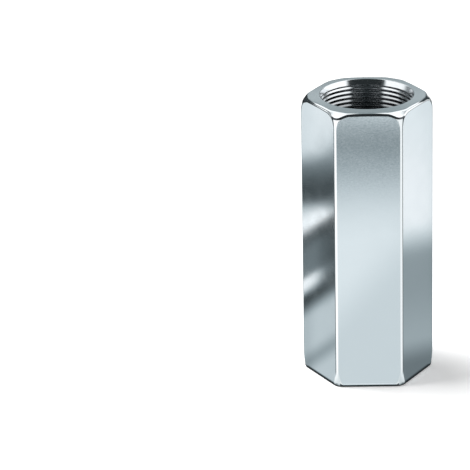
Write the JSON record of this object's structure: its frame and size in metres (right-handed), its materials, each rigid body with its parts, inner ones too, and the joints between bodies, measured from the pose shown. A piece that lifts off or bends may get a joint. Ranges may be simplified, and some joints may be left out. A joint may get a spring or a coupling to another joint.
{
  "type": "coupling nut",
  "caption": "Long hexagonal nut with rounded edges, a chamfered upper end and a threaded bore right through, for joining two threaded rods end to end.",
  "frame": {"origin": "centre of the lower end face, on the bore's axis, where the nut stands", "axes": "+Z along the bore's axis from the lower to the upper end face, +Y and -Y out of two opposite flats, +X out of a corner of the hexagon"},
  "size_m": [0.0218, 0.019, 0.0485],
  "materials": {
    "zinc_plated_steel": "bright blue-white zinc plating, satin on the turned end faces"
  },
  "bodies": {
    "root": {"coupling_nut": "zinc_plated_steel"}
  },
  "joints": []
}
